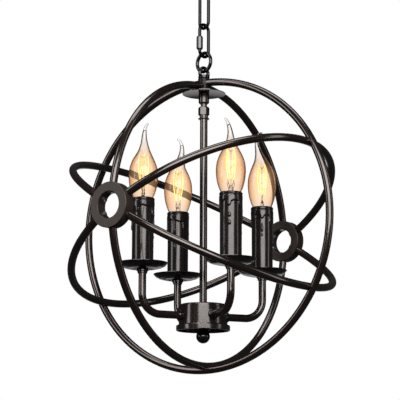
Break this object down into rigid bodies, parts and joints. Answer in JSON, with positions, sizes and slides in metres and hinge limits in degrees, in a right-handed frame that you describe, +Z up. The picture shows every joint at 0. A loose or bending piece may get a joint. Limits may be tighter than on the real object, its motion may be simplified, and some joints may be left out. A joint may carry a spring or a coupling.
{
  "type": "orb chandelier",
  "caption": "Hanging orb chandelier: crossing round hoops joined by hub rings about a stem with candle sleeves and flame-tip bulbs, on a short chain with ceiling canopy.",
  "frame": {"origin": "centre of the two ceiling screw slots, in the ceiling plane", "axes": "+Z up into the ceiling, +X along the axis through the two hub rings"},
  "size_m": [0.385, 0.3904, 0.5584],
  "materials": {
    "bronze_metal": "dark oil-rubbed bronze enamel, semi-gloss",
    "hub_metal": "dark bronze enamel, satin to matt flat faces",
    "chain_metal": "black-bronze enamel, glossy",
    "candle_gloss": "black-brown gloss with wax-drip relief",
    "bulb_glass": "clear glass with an amber tint",
    "bulb_base": "screw shell, contact, mount and filament",
    "socket_plastic": "black moulded lampholder",
    "zinc_steel": "zinc-plated steel"
  },
  "bodies": {
    "ceiling_fitting": {"ceiling_crossbar": "zinc_steel", "ceiling_canopy": "bronze_metal", "canopy_nipple": "zinc_steel", "nipple_lock_nuts": "zinc_steel", "canopy_nut": "bronze_metal", "canopy_eye": "chain_metal"},
    "chain_link": {"chain_link": "chain_metal"},
    "quick_link": {"quick_link": "chain_metal"},
    "sleeve_nut": {"quick_link_nut": "chain_metal"},
    "hanging_ring": {"hanging_ring": "chain_metal"},
    "bulb_1": {"bulb_1_glass": "bulb_glass", "bulb_1_base": "bulb_base"},
    "bulb_2": {"bulb_2_glass": "bulb_glass", "bulb_2_base": "bulb_base"},
    "bulb_3": {"bulb_3_glass": "bulb_glass", "bulb_3_base": "bulb_base"},
    "bulb_4": {"bulb_4_glass": "bulb_glass", "bulb_4_base": "bulb_base"},
    "orb": {"arm_1": "bronze_metal", "arm_2": "bronze_metal", "arm_3": "bronze_metal", "arm_4": "bronze_metal", "arm_check_rings": "bronze_metal", "arm_collars": "bronze_metal", "arm_lock_nuts": "zinc_steel", "body_cup": "bronze_metal", "bottom_cover": "bronze_metal", "candle_sleeve_1": "candle_gloss", "candle_sleeve_2": "candle_gloss", "candle_sleeve_3": "candle_gloss", "candle_sleeve_4": "candle_gloss", "coupling_neck": "bronze_metal", "drip_pan_1": "bronze_metal", "drip_pan_2": "bronze_metal", "drip_pan_3": "bronze_metal", "drip_pan_4": "bronze_metal", "finial": "bronze_metal", "hoop_end_plugs": "zinc_steel", "hub_ring_left": "hub_metal", "hub_ring_right": "hub_metal", "hub_screws": "zinc_steel", "lampholders": "socket_plastic", "lower_coupling": "bronze_metal", "outer_hoop": "bronze_metal", "stem_check_ring": "bronze_metal", "stem_lock_nut": "zinc_steel", "stem_tube": "bronze_metal", "tilted_hoop_a_back": "bronze_metal", "tilted_hoop_a_front": "bronze_metal", "tilted_hoop_b_back": "bronze_metal", "tilted_hoop_b_front": "bronze_metal", "top_cross_block": "bronze_metal", "top_disc": "bronze_metal", "top_eye": "chain_metal", "top_nipple": "zinc_steel", "upper_coupling": "bronze_metal", "upright_hoop_bottom": "bronze_metal", "upright_hoop_top_left": "bronze_metal", "upright_hoop_top_right": "bronze_metal"}
  },
  "joints": [
    {"name": "chain_link_swing", "type": "hinge", "parent": "ceiling_fitting", "child": "chain_link", "pos_m": [0, 0, -0.0523], "axis": [0.99, -0.1409, 0], "range_deg": [-25, 25]},
    {"name": "quick_link_swing", "type": "hinge", "parent": "chain_link", "child": "quick_link", "pos_m": [0, 0, -0.0971], "axis": [0.1409, 0.99, 0], "range_deg": [-25, 25]},
    {"name": "sleeve_nut_travel", "type": "slide", "parent": "quick_link", "child": "sleeve_nut", "axis": [0, 0, 1], "range_m": [0, 0.0092]},
    {"name": "ring_swing", "type": "hinge", "parent": "quick_link", "child": "hanging_ring", "pos_m": [0, 0, -0.1364], "axis": [0.99, -0.1409, 0], "range_deg": [-25, 25]},
    {"name": "orb_swing", "type": "hinge", "parent": "hanging_ring", "child": "orb", "pos_m": [0, 0, -0.1567], "axis": [0.1409, 0.99, 0], "range_deg": [-20, 20]},
    {"name": "bulb_1_removal", "type": "slide", "parent": "orb", "child": "bulb_1", "axis": [0, 0, 1], "range_m": [0, 0.027]},
    {"name": "bulb_2_removal", "type": "slide", "parent": "orb", "child": "bulb_2", "axis": [0, 0, 1], "range_m": [0, 0.027]},
    {"name": "bulb_3_removal", "type": "slide", "parent": "orb", "child": "bulb_3", "axis": [0, 0, 1], "range_m": [0, 0.027]},
    {"name": "bulb_4_removal", "type": "slide", "parent": "orb", "child": "bulb_4", "axis": [0, 0, 1], "range_m": [0, 0.027]}
  ]
}
